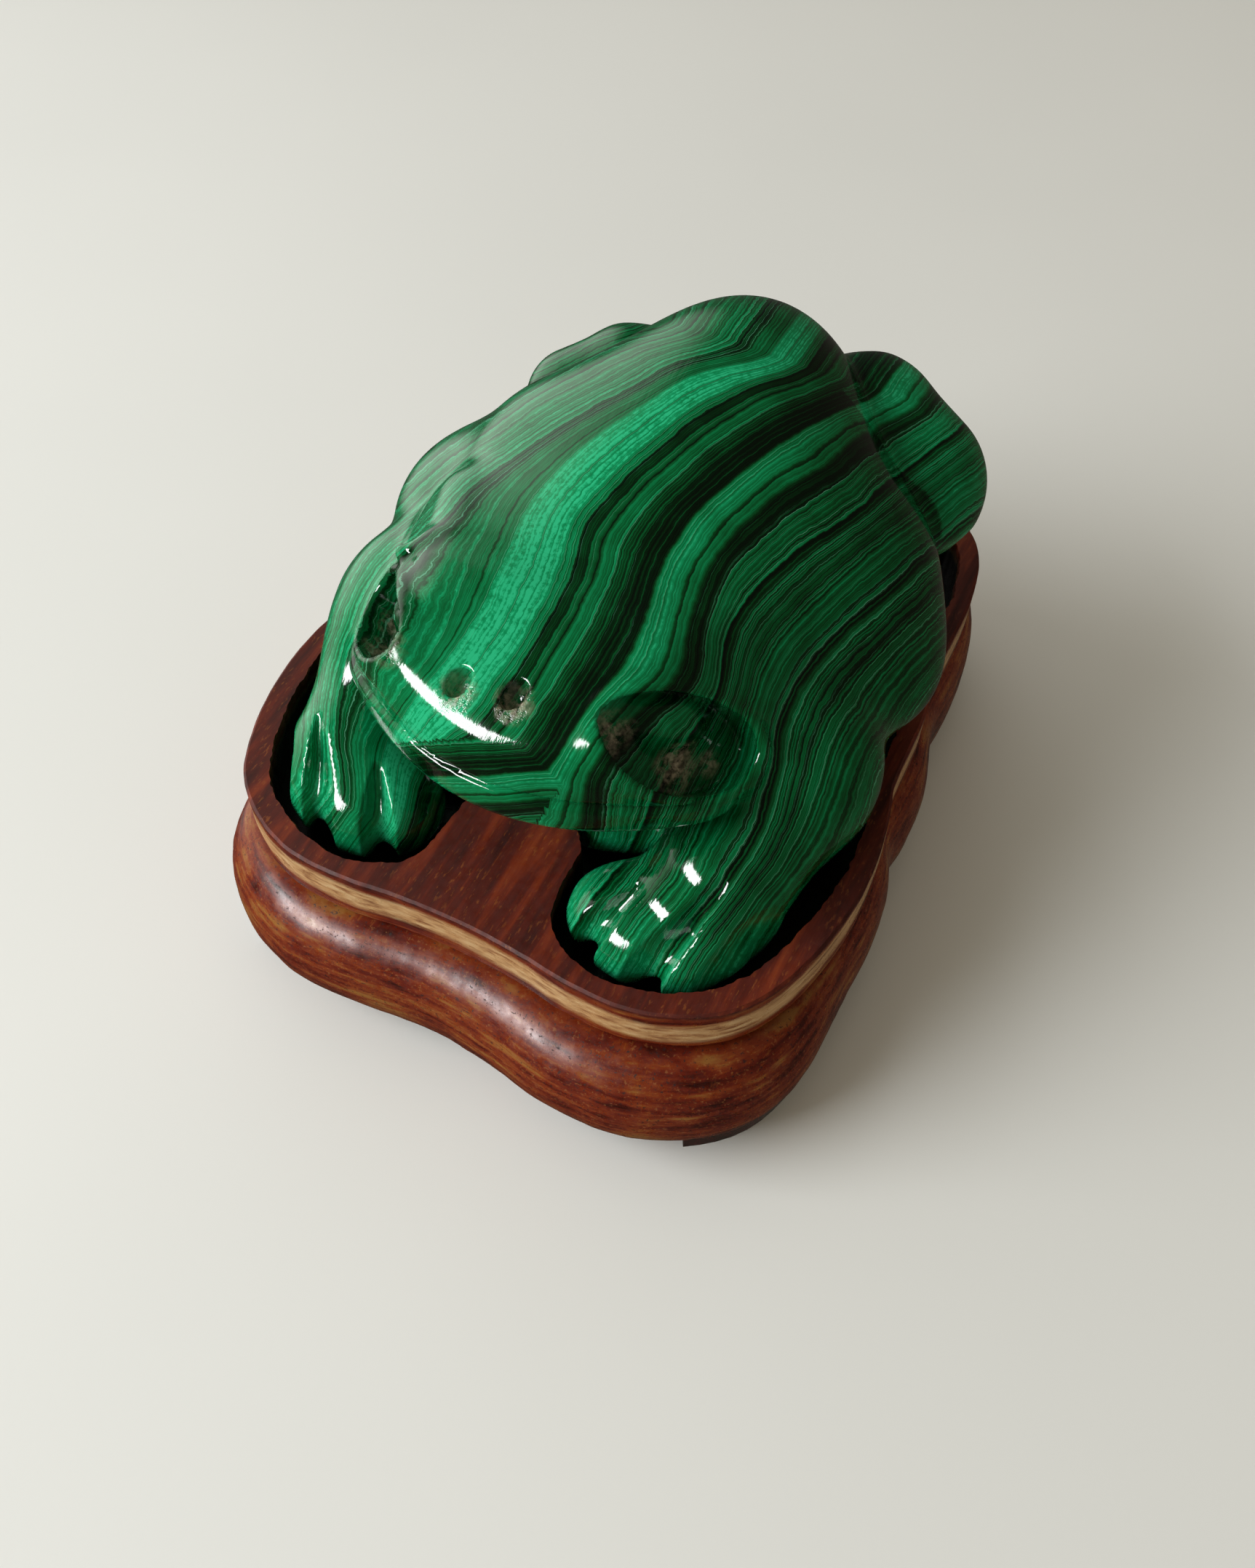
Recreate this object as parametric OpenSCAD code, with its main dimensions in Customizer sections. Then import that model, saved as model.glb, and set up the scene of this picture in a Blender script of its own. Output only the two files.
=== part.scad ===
// Toad figurine seated in a carved hardwood stand on four small feet.
// Frame: origin at the middle of the footprint, on the surface the feet stand on.
// +Z is up and the toad looks along -Y, so its left side is +X.

/* [Stand] */
// Length of the top plate, front to back
plate_l = 100; // [80:1:120]
// Width of the top plate at its widest
plate_w = 85; // [68:1:102]
// Height of the wooden block, without the feet
block_h = 25; // [20:0.5:30]
// Thickness of the top plate
plate_t = 8; // [6:0.5:10]
// Depth of the groove under the plate, measured in from the plate's edge
groove_in = 1.5; // [0.8:0.1:2.4]
// Height of the groove under the plate
groove_h = 1.2; // [0.8:0.1:2]
// How far the round body stands proud of the plate, as a share of its nominal overhang
overhang = 1; // [0.7:0.05:1.2]

/* [Pocket] */
// Depth of the pocket that holds the toad
pocket_d = 7.6; // [4:0.1:9]
// Gap left between the toad's base and the wall of the pocket
pocket_gap = 1.6; // [0.8:0.1:2.5]

/* [Feet] */
// Height of each foot
foot_h = 3; // [2:0.5:6]
// Width of the foot, from its outer to its inner side
foot_w = 7; // [4:0.5:10]
// How far a foot stands out past the flat underside of the body
foot_out = 0.6; // [-1:0.1:1]

/* [Toad] */
// Height of the toad, from its flat base to the top of the rump
toad_h = 51; // [42:1:60]
// Gauge of the head, as a share of its nominal size
head_scale = 1; // [0.9:0.02:1.05]
// Number of toes on a front foot
toes = 4; // [3:1:4]

/* [Hidden] */
stand_h = foot_h + block_h;
floor_z = stand_h - pocket_d;      // level of the pocket floor, and of the toad's base
sx = plate_w / 85;                 // plan shares of the nominal stand
sy = plate_l / 100;
edge_r = 0.35;                     // broken edge of the plate
steps = 4;                         // spline steps between two stations
bulge_steps = 9;                   // rings round the body's moulding
bulge_low = -49;                   // angle at which the moulding meets the flat underside

// Half of the plate's outline from the front centre round the left side to the rear
// centre: x, y, and how far the round body stands proud of the plate at that station, on
// the left side and then on the right side, which bulges less.
STATIONS = [
    [0, -48.2, 6.2, 6.2], [8, -48.6, 6.7, 6.2], [16, -49.5, 7.2, 6.3], [24, -49.2, 7.3, 6.2],
    [31, -46.6, 6.9, 5.6], [36.5, -42, 6.2, 4.5], [40, -35, 4.5, 2.6], [42, -26, 2.5, 1.5],
    [42.5, -18, 2.3, 1.3], [41.6, -10, 2.5, 1.5], [40.2, -4, 2.1, 1.6], [39.8, 2, 3, 2.4],
    [39.4, 9, 3, 2.8], [38.6, 15, 2.4, 2.4], [38.1, 20, 1.7, 1.7], [38.1, 26, 2, 2],
    [37.8, 33, 1.9, 1.9], [36.6, 40, 1.9, 1.9], [33.8, 45.5, 2.6, 2.6], [29, 49, 4, 4],
    [22, 50.2, 5.2, 5.2], [14, 49.9, 5.7, 5.7], [7, 49, 6, 6], [0, 48.6, 6, 6]];

// Half of the pocket's outline, from the tip of the tongue under the chin to the rear
POCKET = [
    [0, -27.5], [5, -28], [8.2, -31], [8.9, -36], [9.6, -41.5], [13, -45.2],
    [19, -46.8], [26, -45.2], [32, -41.5], [35.8, -35.5], [38, -27.5], [39.2, -19],
    [38.6, -10], [37.4, -3], [36.8, 4], [36.2, 12], [35.4, 20], [35.2, 28],
    [34.6, 35], [32.6, 41], [28, 45], [20, 46.8], [10, 46.6], [0, 46]];

function mirrored(half) = concat([for (p = half) [p[0], p[1], p[2]]],
    [for (i = [len(half) - 2 : -1 : 1]) [-half[i][0], half[i][1], half[i][3]]]);

function spline(a, b, c, d, t) = 0.5 * (2 * b + (c - a) * t
    + (2 * a - 5 * b + 4 * c - d) * t * t + (3 * b - a - 3 * c + d) * t * t * t);

function closed_curve(pts, n) = let (m = len(pts))
    [for (i = [0 : m - 1], s = [0 : n - 1])
        spline(pts[(i + m - 1) % m], pts[i], pts[(i + 1) % m], pts[(i + 2) % m], s / n)];

// Outward normal of a closed curve that runs anticlockwise
function normal_at(c, i) = let (
    m = len(c),
    t = c[(i + 1) % m] - c[(i + m - 1) % m],
    l = norm([t[0], t[1]]))
    [t[1] / l, -t[0] / l];

function sized(pts) = [for (p = pts) [p[0] * sx, p[1] * sy, p[2] * overhang]];

OUTLINE = closed_curve(sized(mirrored(STATIONS)), steps);
NORMALS = [for (i = [0 : len(OUTLINE) - 1]) normal_at(OUTLINE, i)];

// A ring at height z: "out" is a fixed offset and "share" a part of the local overhang
function ring(z, out, share) = [for (i = [0 : len(OUTLINE) - 1])
    let (o = out + share * (OUTLINE[i][2] + groove_in))
    [OUTLINE[i][0] + NORMALS[i][0] * o, OUTLINE[i][1] + NORMALS[i][1] * o, z]];

function flat_curve(pts) = let (
    c = closed_curve([for (p = mirrored([for (q = pts) [q[0], q[1], 0, 0]]))
        [p[0] * sx, p[1] * sy, 0]], steps))
    [for (p = c) [p[0], p[1]]];

function inset(c, d) = [for (i = [0 : len(c) - 1]) c[i] - d * normal_at(c, i)];

// Skins a stack of equal rings into one closed solid
module skin(rings) {
    n = len(rings[0]);
    k = len(rings);
    points = [for (r = rings) each r];
    sides = [for (j = [0 : k - 2], i = [0 : n - 1])
        [j * n + i, j * n + (i + 1) % n, (j + 1) * n + (i + 1) % n, (j + 1) * n + i]];
    top = [for (i = [n - 1 : -1 : 0]) i];
    base = [for (i = [0 : n - 1]) (k - 1) * n + i];
    polyhedron(points, concat(sides, [top, base]), convexity = 6);
}

module stand() {
    plate_base = stand_h - plate_t;
    bulge_top = plate_base - groove_h;
    rise = (bulge_top - foot_h) / (1 - sin(bulge_low));
    mid_z = bulge_top - rise;
    angles = [for (i = [0 : bulge_steps]) 90 + (bulge_low - 90) * i / bulge_steps];
    color("saddlebrown")
    difference() {
        skin(concat(
            [ring(stand_h, -edge_r, 0), ring(stand_h - edge_r, 0, 0),
             ring(plate_base + edge_r, 0, 0), ring(plate_base, -edge_r, 0),
             ring(plate_base - 0.01, -groove_in, 0)],
            [for (a = angles) ring(mid_z + rise * sin(a), -groove_in, cos(a))]));
        translate([0, 0, floor_z])
            linear_extrude(pocket_d + 1)
                polygon(flat_curve(POCKET));
    }
}

// One bracket foot: a short curved block under a corner of the body
module foot(side_x, side_y) {
    first = steps * (side_y < 0 ? 4 : 17);
    last = first + 2 * steps;
    outer = ring(0, -groove_in + foot_out, cos(bulge_low));
    path = [for (i = [first : last]) [outer[i][0], outer[i][1]]];
    back = [for (i = [last : -1 : first])
        [outer[i][0] - foot_w * NORMALS[i][0], outer[i][1] - foot_w * NORMALS[i][1]]];
    color("#3a0a12")
    scale([side_x, 1, 1])
        linear_extrude(foot_h)
            polygon(concat(path, back));
}

// An egg-shaped lump with its own radii, turned about Z
module lump(at, radii, turn = 0, fn = 24) {
    translate(at)
        rotate([0, 0, turn])
            scale(radii)
                sphere(1, $fn = fn);
}

// A front foot: a palm with its toes fanned out in front of it
module front_foot() {
    for (i = [0 : toes - 1])
        hull() {
            lump([13.8 + 5.8 * i, -41.6 + 0.95 * i * i, floor_z + 4], [2.7, 2.7, 3.6], 0, 12);
            lump([17.5 + 3.6 * i, -31, floor_z + 6], [3.4, 3.4, 5], 0, 12);
        }
    hull() {
        lump([22, -30, floor_z + 5], [9, 6, 6.5], 0, 16);
        lump([30, -16, floor_z + 12], [7.5, 8, 9], 0, 16);
        lump([18, -8, floor_z + 12], [10, 8, 9], 0, 16);
    }
}

// Trunk and belly, filled down to the flat base
module trunk() {
    hull() {
        lump([0, 13, floor_z + toad_h - 29.5], [35.5, 29, 29.5], 0, 36);
        lump([0, -7, floor_z + 22], [33, 21, 22.5], 0, 30);
        translate([0, 0, floor_z])
            linear_extrude(1)
                polygon([for (a = [0 : 12 : 348]) [30 * cos(a), 9 + 29 * sin(a)]]);
    }
}

module toad() {
    top_z = floor_z + toad_h;
    base = inset(flat_curve(POCKET), pocket_gap);
    color("seagreen")
    intersection() {
        union() {
            trunk();
            hull() {
                lump([0, -24, floor_z + 29], [25, 17, 11.5] * head_scale, 0, 28);
                lump([0, -8, floor_z + 26], [28, 14, 14], 0, 24);
            }
            for (s = [0, 1]) mirror([s, 0, 0]) {
                front_foot();
                lump([17.5, -20, floor_z + 34], [8.5, 10, 7.5], -20);
                lump([28, 5, floor_z + 18], [10.5, 15, 17], 6);
                lump([26.5, 29, floor_z + 20], [9.5, 15, 20], 14);
            }
        }
        union() {
            translate([-plate_w, -plate_l, stand_h + 0.6])
                cube([2 * plate_w, 2 * plate_l, top_z]);
            translate([0, 0, floor_z])
                linear_extrude(pocket_d + 0.7)
                    polygon(base);
        }
    }
}

stand();
foot(1, -1);  // foot_front_left
foot(-1, -1);  // foot_front_right
foot(1, 1);  // foot_rear_left
foot(-1, 1);  // foot_rear_right
toad();
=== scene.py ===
"""Looks for the malachite toad on its carved wooden stand.

Frame: metres, +Z up, the toad looks along -Y, and its left side is +X. The sculpted shapes
are worked out in millimetres and scaled once, in solid().
"""

import math

import bmesh
import bpy
import numpy as np
from mathutils import Matrix, Vector, noise
from mathutils.geometry import delaunay_2d_cdt


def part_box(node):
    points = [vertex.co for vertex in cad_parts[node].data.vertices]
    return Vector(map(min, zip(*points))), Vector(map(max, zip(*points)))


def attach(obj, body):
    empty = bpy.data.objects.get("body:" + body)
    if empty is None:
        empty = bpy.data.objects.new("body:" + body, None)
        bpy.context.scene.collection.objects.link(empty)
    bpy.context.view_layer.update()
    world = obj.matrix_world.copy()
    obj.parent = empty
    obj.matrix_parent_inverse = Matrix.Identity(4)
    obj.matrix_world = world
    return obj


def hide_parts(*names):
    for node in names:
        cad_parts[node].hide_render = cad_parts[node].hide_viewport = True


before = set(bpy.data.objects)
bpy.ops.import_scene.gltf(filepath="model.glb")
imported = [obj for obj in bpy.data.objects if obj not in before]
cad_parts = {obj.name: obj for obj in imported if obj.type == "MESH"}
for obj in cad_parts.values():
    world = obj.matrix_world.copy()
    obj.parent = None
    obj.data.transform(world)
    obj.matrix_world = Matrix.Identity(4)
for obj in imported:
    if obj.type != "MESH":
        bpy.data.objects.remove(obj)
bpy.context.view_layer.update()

MM = 0.001


# ---------------------------------------------------------------- meshes
GRID = 0.45            # spacing of the sculpt's grid
COARSE = 4             # the coarse grid that finds the surface is this many times wider


def solid(name, verts, faces, material, smooth=True):
    """A mesh object from points in millimetres."""
    mesh = bpy.data.meshes.new(name)
    mesh.from_pydata((np.asarray(verts) * MM).tolist(), [], [list(map(int, f)) for f in faces])
    mesh.polygons.foreach_set("use_smooth", [smooth] * len(mesh.polygons))
    mesh.materials.append(material)
    obj = bpy.data.objects.new(name, mesh)
    bpy.context.scene.collection.objects.link(obj)
    return obj


def widened(grid, axis):
    """A grid resampled COARSE times finer along one axis."""
    i = np.arange((grid.shape[axis] - 1) * COARSE + 1) / COARSE
    j = np.minimum(i.astype(int), grid.shape[axis] - 2)
    f = (i - j).reshape([-1 if a == axis else 1 for a in range(3)])
    return np.take(grid, j, axis) * (1 - f) + np.take(grid, j + 1, axis) * f


def sampled(field, low, high):
    """The field on a fine grid, exact only near the surface."""
    low = np.array(low, float)
    wide = GRID * COARSE
    n = np.ceil((np.array(high) - low) / wide).astype(int) + 1
    axes = [low[i] + np.arange(n[i]) * wide for i in range(3)]
    grid = field(np.stack(np.meshgrid(*axes, indexing="ij"), -1).reshape(-1, 3)).reshape(n)
    for axis in range(3):
        grid = widened(grid, axis)
    near = np.argwhere(np.abs(grid) < 1.1 * wide)
    values = [field(low + near[i:i + 300000] * GRID) for i in range(0, len(near), 300000)]
    grid[tuple(near.T)] = np.concatenate(values)
    return grid, low


def surface_net(grid, low):
    """Vertices and quads of the zero surface: one vertex in each cell that it crosses."""
    inside = grid < 0
    cells = [n - 1 for n in grid.shape]
    corners = [(i, j, k) for i in (0, 1) for j in (0, 1) for k in (0, 1)]
    count = sum(inside[i:i + cells[0], j:j + cells[1], k:k + cells[2]].astype(int)
                for i, j, k in corners)
    crossed = (count > 0) & (count < 8)
    cell = np.argwhere(crossed)
    index = np.full(crossed.shape, -1)
    index[crossed] = np.arange(len(cell))
    total, hits = np.zeros((len(cell), 3)), np.zeros(len(cell))
    for a in range(8):
        for b in range(a + 1, 8):
            if np.abs(np.subtract(corners[a], corners[b])).sum() != 1:
                continue
            fa, fb = (grid[tuple((cell + corners[c]).T)] for c in (a, b))
            hit = (fa < 0) != (fb < 0)
            t = np.where(hit, fa / np.where(hit, fa - fb, 1), 0)
            crossing = np.array(corners[a]) + np.subtract(corners[b], corners[a]) * t[:, None]
            total[hit] += crossing[hit]
            hits[hit] += 1
    verts = low + (cell + total / hits[:, None]) * GRID
    quads = []
    for axis in range(3):
        here, there = [slice(1, -1)] * 3, [slice(1, -1)] * 3
        here[axis], there[axis] = slice(0, -1), slice(1, None)
        a, b = inside[tuple(here)], inside[tuple(there)]
        edge = np.argwhere(a != b) + (1 - np.eye(3, dtype=int)[axis])
        u, v = np.eye(3, dtype=int)[(axis + 1) % 3], np.eye(3, dtype=int)[(axis + 2) % 3]
        quad = np.stack([index[tuple((edge - s).T)] for s in (u + v, v, 0 * u, u)], 1)
        quads.append(np.where(a[a != b][:, None], quad, quad[:, ::-1]))
    return verts, np.vstack(quads)


def sculpted(field, low, high):
    """A mesh of the field's surface, its vertices moved on to the surface itself."""
    verts, quads = surface_net(*sampled(field, low, high))
    for _ in range(2):
        step = 0.15 * np.eye(3)
        slope = np.stack([field(verts + s) - field(verts - s) for s in step], 1) / 0.3
        move = field(verts) / np.maximum((slope**2).sum(1), 0.05)
        verts = verts - 0.8 * np.clip(move, -GRID, GRID)[:, None] * slope
    return verts, quads


def vertex_values(obj, name, values):
    """Stores one number for each vertex, for a material to read."""
    stored = obj.data.attributes.new(name, "FLOAT", "POINT")
    stored.data.foreach_set("value", np.float32(values))


def ramped(value, start, end):
    """0 up to the start, 1 from the end on, and even steps between them."""
    return np.clip((value - start) / (end - start), 0, 1)


# ---------------------------------------------------------------- the CAD stand's outlines
def cad_points(node):
    """A CAD node's vertices and triangles, in millimetres."""
    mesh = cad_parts[node].data
    mesh.calc_loop_triangles()
    points = np.array([v.co for v in mesh.vertices]) / MM
    keys, index = np.unique(points.round(3), axis=0, return_inverse=True)
    tris = index.reshape(-1)[np.array([t.vertices for t in mesh.loop_triangles])]
    return keys, tris


def flat_tris(points, tris, z):
    """The triangles that lie flat at height z."""
    return tris[np.all(np.abs(points[tris][:, :, 2] - z) < 0.01, axis=1)]


def rim_loop(points, tris, z):
    """The longest closed edge of the flat face at height z, in order, as (n, 2)."""
    edges = {}
    for a, b, c in flat_tris(points, tris, z):
        for e in ((a, b), (b, c), (c, a)):
            edges[e] = True
    follow = {a: b for a, b in edges if (b, a) not in edges}
    loops = []
    while follow:
        start, at = next(iter(follow.items()))
        loop = [start]
        while at != start:
            loop.append(at)
            at = follow.pop(at)
        follow.pop(start, None)
        loops.append(points[loop][:, :2])
    return max(loops, key=len)


def round_table(xy):
    """Distance from the middle to a ring, at even steps round it."""
    turn = np.arctan2(xy[:, 1], xy[:, 0])
    order = np.argsort(turn)
    return np.interp(TURNS, turn[order], np.hypot(*xy.T)[order], period=2 * math.pi)


def even_loop(loop, spacing):
    """A closed loop resampled at even steps."""
    closed = np.vstack([loop, loop[:1]])
    run = np.concatenate([[0], np.cumsum(np.linalg.norm(np.diff(closed, axis=0), axis=1))])
    at = np.linspace(0, run[-1], int(run[-1] / spacing), endpoint=False)
    return np.stack([np.interp(at, run, closed[:, k]) for k in (0, 1)], 1)


def loop_distance(xy, loop):
    """Signed distance from points to a closed loop in plan, negative inside."""
    near = np.full(len(xy), 1e9)
    inside = np.zeros(len(xy), bool)
    for a, b in zip(loop, np.roll(loop, -1, 0)):
        w, e = xy - a, b - a
        t = np.clip((w @ e) / max(e @ e, 1e-9), 0, 1)
        near = np.minimum(near, ((w - t[:, None] * e) ** 2).sum(1))
        spans = (a[1] <= xy[:, 1]) != (b[1] <= xy[:, 1])
        if spans.any():
            inside ^= spans & (xy[:, 0] < a[0] + w[:, 1] * e[0] / (e[1] if e[1] else 1e-9))
    return np.where(inside, -1, 1) * np.sqrt(near)


STAND_LOW, STAND_HIGH = (np.array(c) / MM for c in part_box("stand"))
TOP_Z = STAND_HIGH[2]
TURNS = np.linspace(-math.pi, math.pi, 900, endpoint=False)
stand_points, stand_tris = cad_points("stand")
levels = np.unique(stand_points[:, 2].round(2))
FLOOR_Z = max(z for z in levels
              if z < TOP_Z - 4 and len(flat_tris(stand_points, stand_tris, z)) > 20)
BODY_TOP_Z = 18.9                           # rings below this height are the round body's
POCKET = rim_loop(stand_points, stand_tris, FLOOR_Z)
RINGS = []                                  # (z, radius at each turn), from the top down
for z in levels[::-1]:
    ring = stand_points[np.abs(stand_points[:, 2] - z) < 0.011][:, :2]
    ring = ring[loop_distance(ring, POCKET) > 0.4]
    if len(ring) > 100:
        RINGS.append((z, round_table(ring)))

GAP_STEP = 0.5                              # grid of distances to the pocket's wall
gap_x, gap_y = np.arange(-52, 52, GAP_STEP), np.arange(-62, 62, GAP_STEP)
GAPS = loop_distance(np.stack(np.meshgrid(gap_x, gap_y, indexing="ij"), -1).reshape(-1, 2),
                     POCKET[::2]).reshape(len(gap_x), len(gap_y))


def pocket_gap(x, y):
    """Distance from the pocket's wall in plan, negative inside the pocket."""
    u = np.clip((x - gap_x[0]) / GAP_STEP, 0, len(gap_x) - 1.01)
    v = np.clip((y - gap_y[0]) / GAP_STEP, 0, len(gap_y) - 1.01)
    i, j = u.astype(int), v.astype(int)
    f, g = u - i, v - j
    return (GAPS[i, j] * (1 - f) * (1 - g) + GAPS[i + 1, j] * f * (1 - g)
            + GAPS[i, j + 1] * (1 - f) * g + GAPS[i + 1, j + 1] * f * g)


# ---------------------------------------------------------------- the carved stand
SHARP_EDGE = math.radians(38)               # edges that turn more than this stay crisp


def wobble(p, size, seed=0.0):
    """Smooth noise from -1 to 1, with lumps about size wide."""
    return np.array([noise.noise(Vector(q) / size + Vector((seed, seed, seed))) for q in p])


def filled(outer, hole=None, spacing=None):
    """Triangles that fill a closed loop in plan, less a hole, with inner points that far apart."""
    loops = [outer] if hole is None else [outer, hole]
    points, edges = [], []
    for loop in loops:
        n = len(points)
        points += [Vector(q) for q in loop]
        edges += [(n + i, n + (i + 1) % len(loop)) for i in range(len(loop))]
    if spacing:
        xs = np.arange(outer[:, 0].min(), outer[:, 0].max(), spacing)
        ys = np.arange(outer[:, 1].min(), outer[:, 1].max(), spacing)
        grid = np.stack(np.meshgrid(xs, ys, indexing="ij"), -1).reshape(-1, 2)
        keep = loop_distance(grid, outer[::4]) < -1.2
        if hole is not None:
            keep &= loop_distance(grid, hole[::3]) > 1.2
        points += [Vector(q) for q in grid[keep]]
    verts, _, faces, _, _, _ = delaunay_2d_cdt(points, edges, [], 0, 1e-4)
    verts = np.array([tuple(v) for v in verts])
    faces = np.array([f for f in faces if len(f) == 3])
    middle = verts[faces].mean(1)
    keep = loop_distance(middle, outer) < 0
    if hole is not None:
        keep &= loop_distance(middle, hole) > 0
    return verts, faces[keep]


def eased(rings, steps):
    """Rings with smooth in-between rings added (Catmull-Rom)."""
    out = []
    for k in range(len(rings) - 1):
        a, b, c, d = (rings[min(max(k + i, 0), len(rings) - 1)] for i in (-1, 0, 1, 2))
        for t in np.arange(steps) / steps:
            out.append(0.5 * (2 * b + (c - a) * t + (2 * a - 5 * b + 4 * c - d) * t**2
                              + (3 * b - a - 3 * c + d) * t**3))
    return out + [rings[-1]]


def ring_xyz(z, radius):
    """A ring's points at height z, from its radius at each turn."""
    return np.stack([radius * np.cos(TURNS), radius * np.sin(TURNS), np.full(len(TURNS), z)], 1)


def joined(parts):
    """Several (verts, faces) as one."""
    verts, faces, n = [], [], 0
    for v, f in parts:
        verts.append(v)
        faces += [tuple(int(i) + n for i in face) for face in f]
        n += len(v)
    return np.vstack(verts), faces


def strip(rings):
    """Quads between closed rings of equal length, from the top ring down."""
    n = len(rings[0])
    faces = [(k * n + i, (k + 1) * n + i, (k + 1) * n + (i + 1) % n, k * n + (i + 1) % n)
             for k in range(len(rings) - 1) for i in range(n)]
    return np.vstack(rings), faces


def carved_stand(material):
    """The stand, with hand-carved unevenness and a ragged rim round its pocket."""
    upper = [ring_xyz(z, r) for z, r in RINGS if z > BODY_TOP_Z]
    lower = [ring_xyz(z, r) for z, r in RINGS if z < BODY_TOP_Z]
    band = [upper[1] + (upper[2] - upper[1]) * t for t in np.linspace(0, 1, 7)]
    shell = [upper[0]] + band + [upper[3], upper[4]] + eased(lower, 3)
    out = np.stack([np.cos(TURNS), np.sin(TURNS), 0 * TURNS], 1)
    hand = [0.22 * wobble(r, 9) + 0.08 * wobble(r, 2.5, 7) for r in shell]
    shell = [r + out * h[:, None] for r, h in zip(shell, hand)]
    wall_top = even_loop(POCKET, 0.3)
    n = len(wall_top)
    edge = np.roll(wall_top, -1, 0) - np.roll(wall_top, 1, 0)
    away = np.stack([edge[:, 1], -edge[:, 0]], 1) / np.linalg.norm(edge, axis=1)[:, None]
    if loop_distance(wall_top[:1] + 0.5 * away[:1], POCKET)[0] < 0:
        away = -away
    flat = np.column_stack([wall_top, np.zeros(n)])
    ragged = 0.28 * wobble(flat, 2.6, 3) + 0.22 * wobble(flat, 0.9, 5) + 0.25
    lip = wall_top + away * np.maximum(ragged, -0.1)[:, None]
    depths = np.array([0, 0.25, 1.2, 2.6, 4.2, 6, TOP_Z - FLOOR_Z])
    wall = []
    for k, depth in enumerate(depths):
        chisel = 0 if depth == 0 else 0.3 * wobble(flat + [0, 0, 2.0 * depth], 1.8, 9)
        grow = (1 - depth / depths[-1]) * ragged + chisel * (depth < 7)
        ring = lip if k == 0 else wall_top + away * np.clip(grow, -0.2, 0.9)[:, None]
        wall.append(np.column_stack([ring, np.full(n, TOP_Z - depth)]))
    top_xy, top_faces = filled(shell[0][:, :2], lip, 1.5)
    top = np.column_stack([top_xy, np.full(len(top_xy), TOP_Z)])
    inner = loop_distance(top_xy, shell[0][::4, :2]) < -0.6
    inner &= loop_distance(top_xy, lip[::3]) > 0.3
    top[:, 2] += 0.08 * inner * wobble(top, 7, 2)
    floor_xy, floor_faces = filled(wall[-1][:, :2], None, 2.5)
    base_xy, base_faces = filled(shell[-1][:, :2], None, 8)
    base = np.column_stack([base_xy, np.full(len(base_xy), shell[-1][0, 2])])
    floor = np.column_stack([floor_xy, np.full(len(floor_xy), FLOOR_Z)])
    wall_verts, wall_faces = strip(wall)
    obj = solid("stand_carved", *joined([
        strip(shell), (top, top_faces), (wall_verts, wall_faces), (floor, floor_faces),
        (base, base_faces)]), material)
    weld = bmesh.new()
    weld.from_mesh(obj.data)
    bmesh.ops.remove_doubles(weld, verts=weld.verts, dist=0.02 * MM)
    bmesh.ops.recalc_face_normals(weld, faces=weld.faces)
    for e in weld.edges:
        e.smooth = len(e.link_faces) == 2 and e.calc_face_angle() < SHARP_EDGE
    weld.to_mesh(obj.data)
    weld.free()
    return obj


# ---------------------------------------------------------------- distance fields
# Shapes below are signed distances in millimetres: negative inside, points as (n, 3).

def blend(a, b, k):
    """Union of two fields with a fillet about k wide."""
    h = np.clip(0.5 + 0.5 * (b - a) / k, 0, 1)
    return b + (a - b) * h - k * h * (1 - h)


def cut(a, b, k):
    """What two fields share, with an edge rounded by about k."""
    return -blend(-a, -b, k)


def lump(p, centre, radii, yaw=0.0):
    """An ellipsoid, turned about Z."""
    q = p - np.array(centre, float)
    c, s = math.cos(math.radians(yaw)), math.sin(math.radians(yaw))
    q = q @ np.array([[c, -s, 0], [s, c, 0], [0, 0, 1]])
    r = np.array(radii, float)
    near = np.sqrt(((q / r) ** 2).sum(1))
    slope = np.sqrt(((q / r**2) ** 2).sum(1)) + 1e-9
    return near * (near - 1) / slope


def limb(p, a, b, ra, rb):
    """A round cone from a to b."""
    a, b = np.array(a, float), np.array(b, float)
    t = np.clip((p - a) @ (b - a) / ((b - a) @ (b - a)), 0, 1)
    return np.linalg.norm(p - a - t[:, None] * (b - a), axis=1) - (ra + (rb - ra) * t)


def chain(p, points, radii, k):
    """Limbs one after another."""
    d = limb(p, points[0], points[1], radii[0], radii[1])
    for i in range(1, len(points) - 1):
        d = blend(d, limb(p, points[i], points[i + 1], radii[i], radii[i + 1]), k)
    return d


def fold(p, points, heights, width):
    """Height of a fold of skin that follows a line lying near the surface."""
    raised = np.zeros(len(p))
    for a, b, ha, hb in zip(points, points[1:], heights, heights[1:]):
        a, b = np.array(a, float), np.array(b, float)
        t = np.clip((p - a) @ (b - a) / ((b - a) @ (b - a)), 0, 1)
        away = np.linalg.norm(p - a - t[:, None] * (b - a), axis=1)
        raised = np.maximum(raised, (ha + (hb - ha) * t) * np.exp(-(away / width) ** 2))
    return raised


def dent(p, a, b, wa, wb, depth):
    """Depth of a gouge seen from above: from nothing at a to its full width and depth at b."""
    a, b = np.array(a, float), np.array(b, float)
    t = np.clip((p[:, :2] - a) @ (b - a) / ((b - a) @ (b - a)), 0, 1)
    away = np.linalg.norm(p[:, :2] - a - t[:, None] * (b - a), axis=1)
    width = wa + (wb - wa) * np.minimum(1, 1.6 * t)
    return depth * np.minimum(1, 2.5 * t + 0.25) * np.clip(1 - (away / width) ** 2, 0, 1)


# ---------------------------------------------------------------- the toad
BASE_Z = 20.4                                   # flat base, on the pocket's floor
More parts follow.
